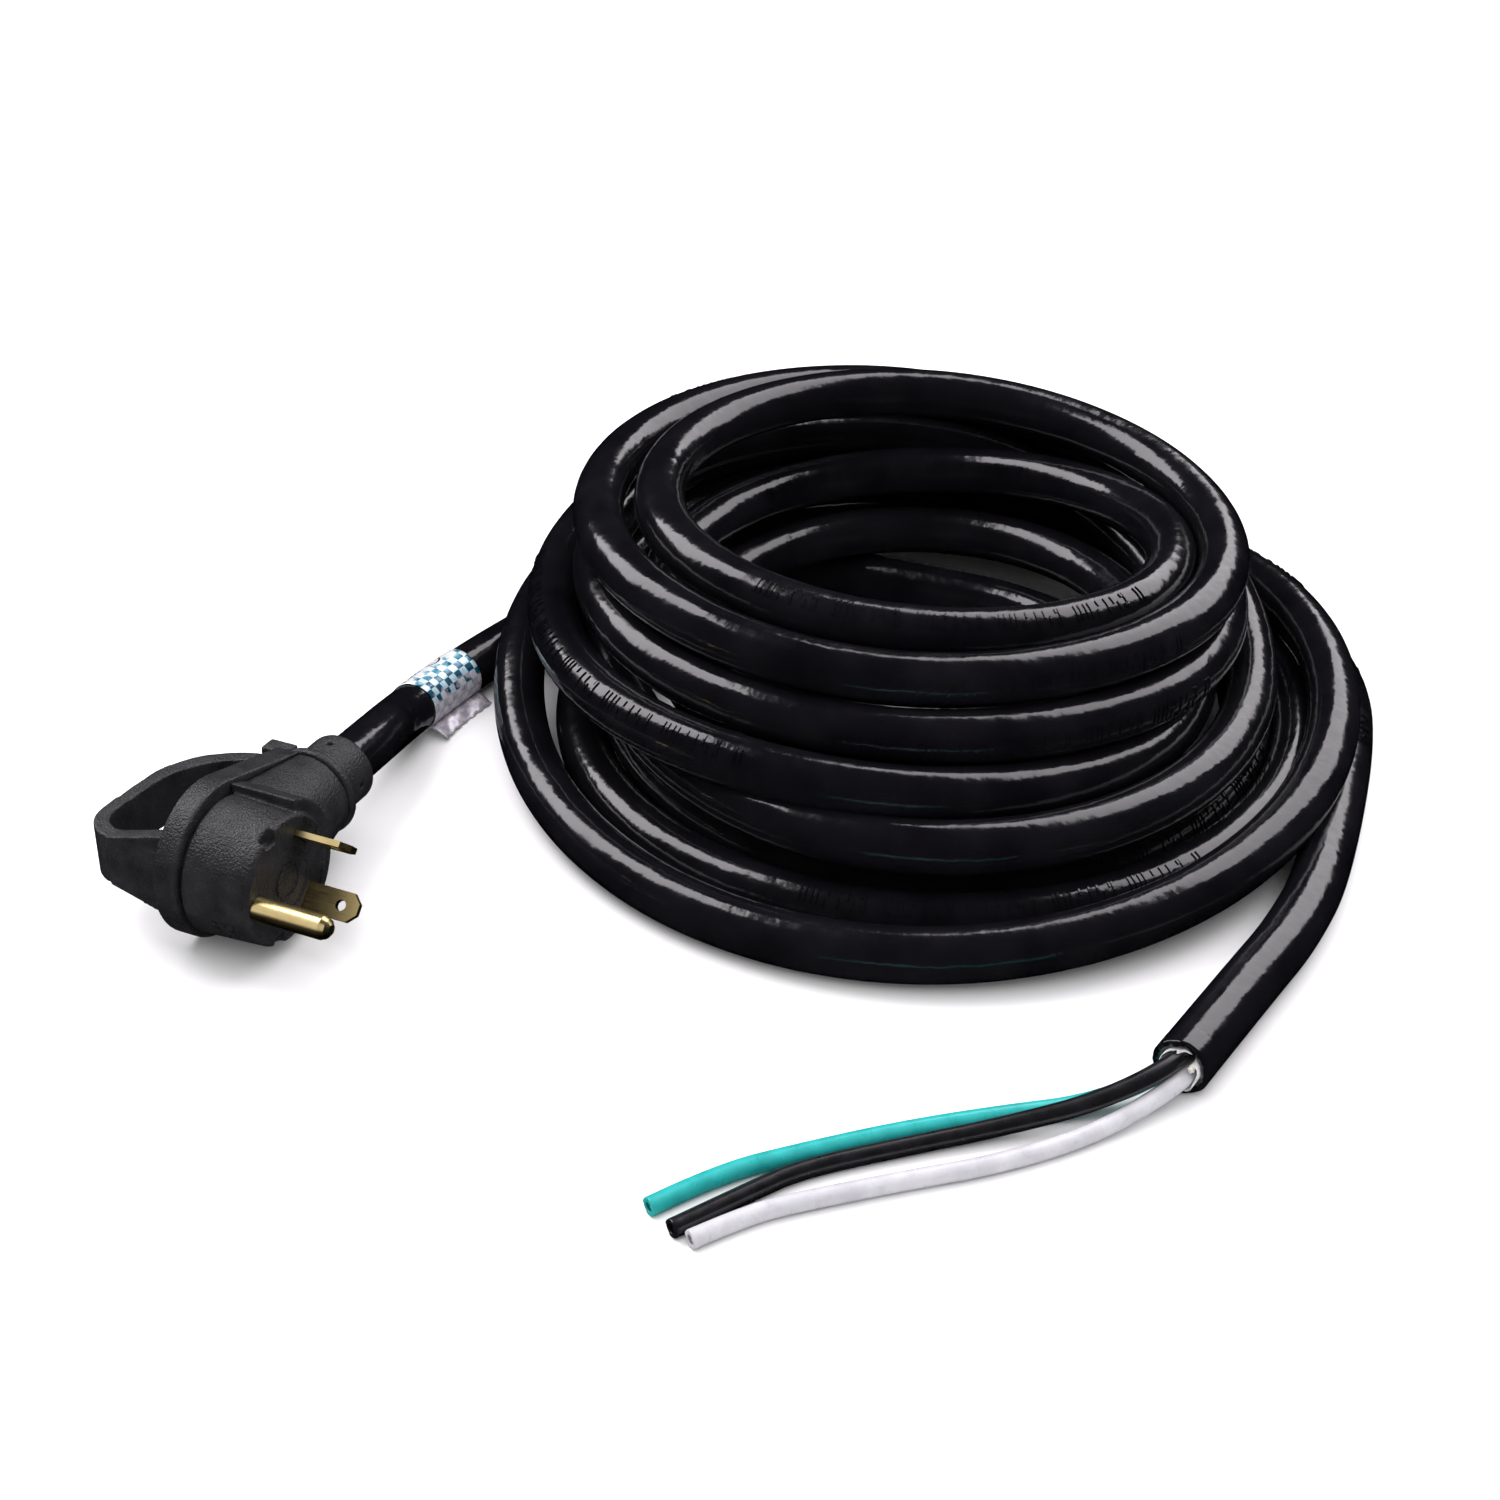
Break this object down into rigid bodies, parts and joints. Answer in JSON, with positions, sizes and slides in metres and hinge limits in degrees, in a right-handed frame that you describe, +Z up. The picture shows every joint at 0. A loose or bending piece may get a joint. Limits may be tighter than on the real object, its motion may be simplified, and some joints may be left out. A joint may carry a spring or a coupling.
{
  "type": "shore power cord",
  "caption": "Caravan shore power cord: right-angle moulded plug with a finger loop, a loose coil of round black cord and a stripped three-conductor end.",
  "frame": {"origin": "centre of the plug's own box, on the floor it lies on", "axes": "+X the way the blades and the ground pin point, +Y the way the cord leaves the plug, +Z up"},
  "size_m": [0.3251, 0.3857, 0.074],
  "materials": {
    "plug_moulding": "fine pebbled PVC",
    "jacket": "glossy PVC jacket",
    "holder_resin": "hidden rigid resin",
    "brass": "bright stamped brass",
    "copper": "bare copper strands",
    "green_insulation": "coloured PVC insulation",
    "black_insulation": "coloured PVC insulation",
    "white_insulation": "coloured PVC insulation",
    "label_film": "silver film label",
    "separator_paper": "thin paper wrap",
    "filler_fibre": "twisted paper filler"
  },
  "bodies": {
    "root": {"plug_body": "plug_moulding", "grip_frame": "plug_moulding", "strain_relief": "plug_moulding", "blade_holder": "holder_resin", "hot_blade": "brass", "neutral_blade": "brass", "ground_pin": "brass", "hot_crimp": "brass", "neutral_crimp": "brass", "ground_crimp": "brass", "hot_lead_insulation": "black_insulation", "neutral_lead_insulation": "white_insulation", "ground_lead_insulation": "green_insulation", "hot_lead_strands": "copper", "neutral_lead_strands": "copper", "ground_lead_strands": "copper", "cord_plug_run": "jacket", "cord_coil": "jacket", "cord_tail": "jacket", "label_wrap": "label_film", "green_insulation": "green_insulation", "black_insulation": "black_insulation", "white_insulation": "white_insulation", "green_strands": "copper", "black_strands": "copper", "white_strands": "copper", "separator_wrap": "separator_paper", "filler_strings": "filler_fibre"}
  },
  "joints": []
}
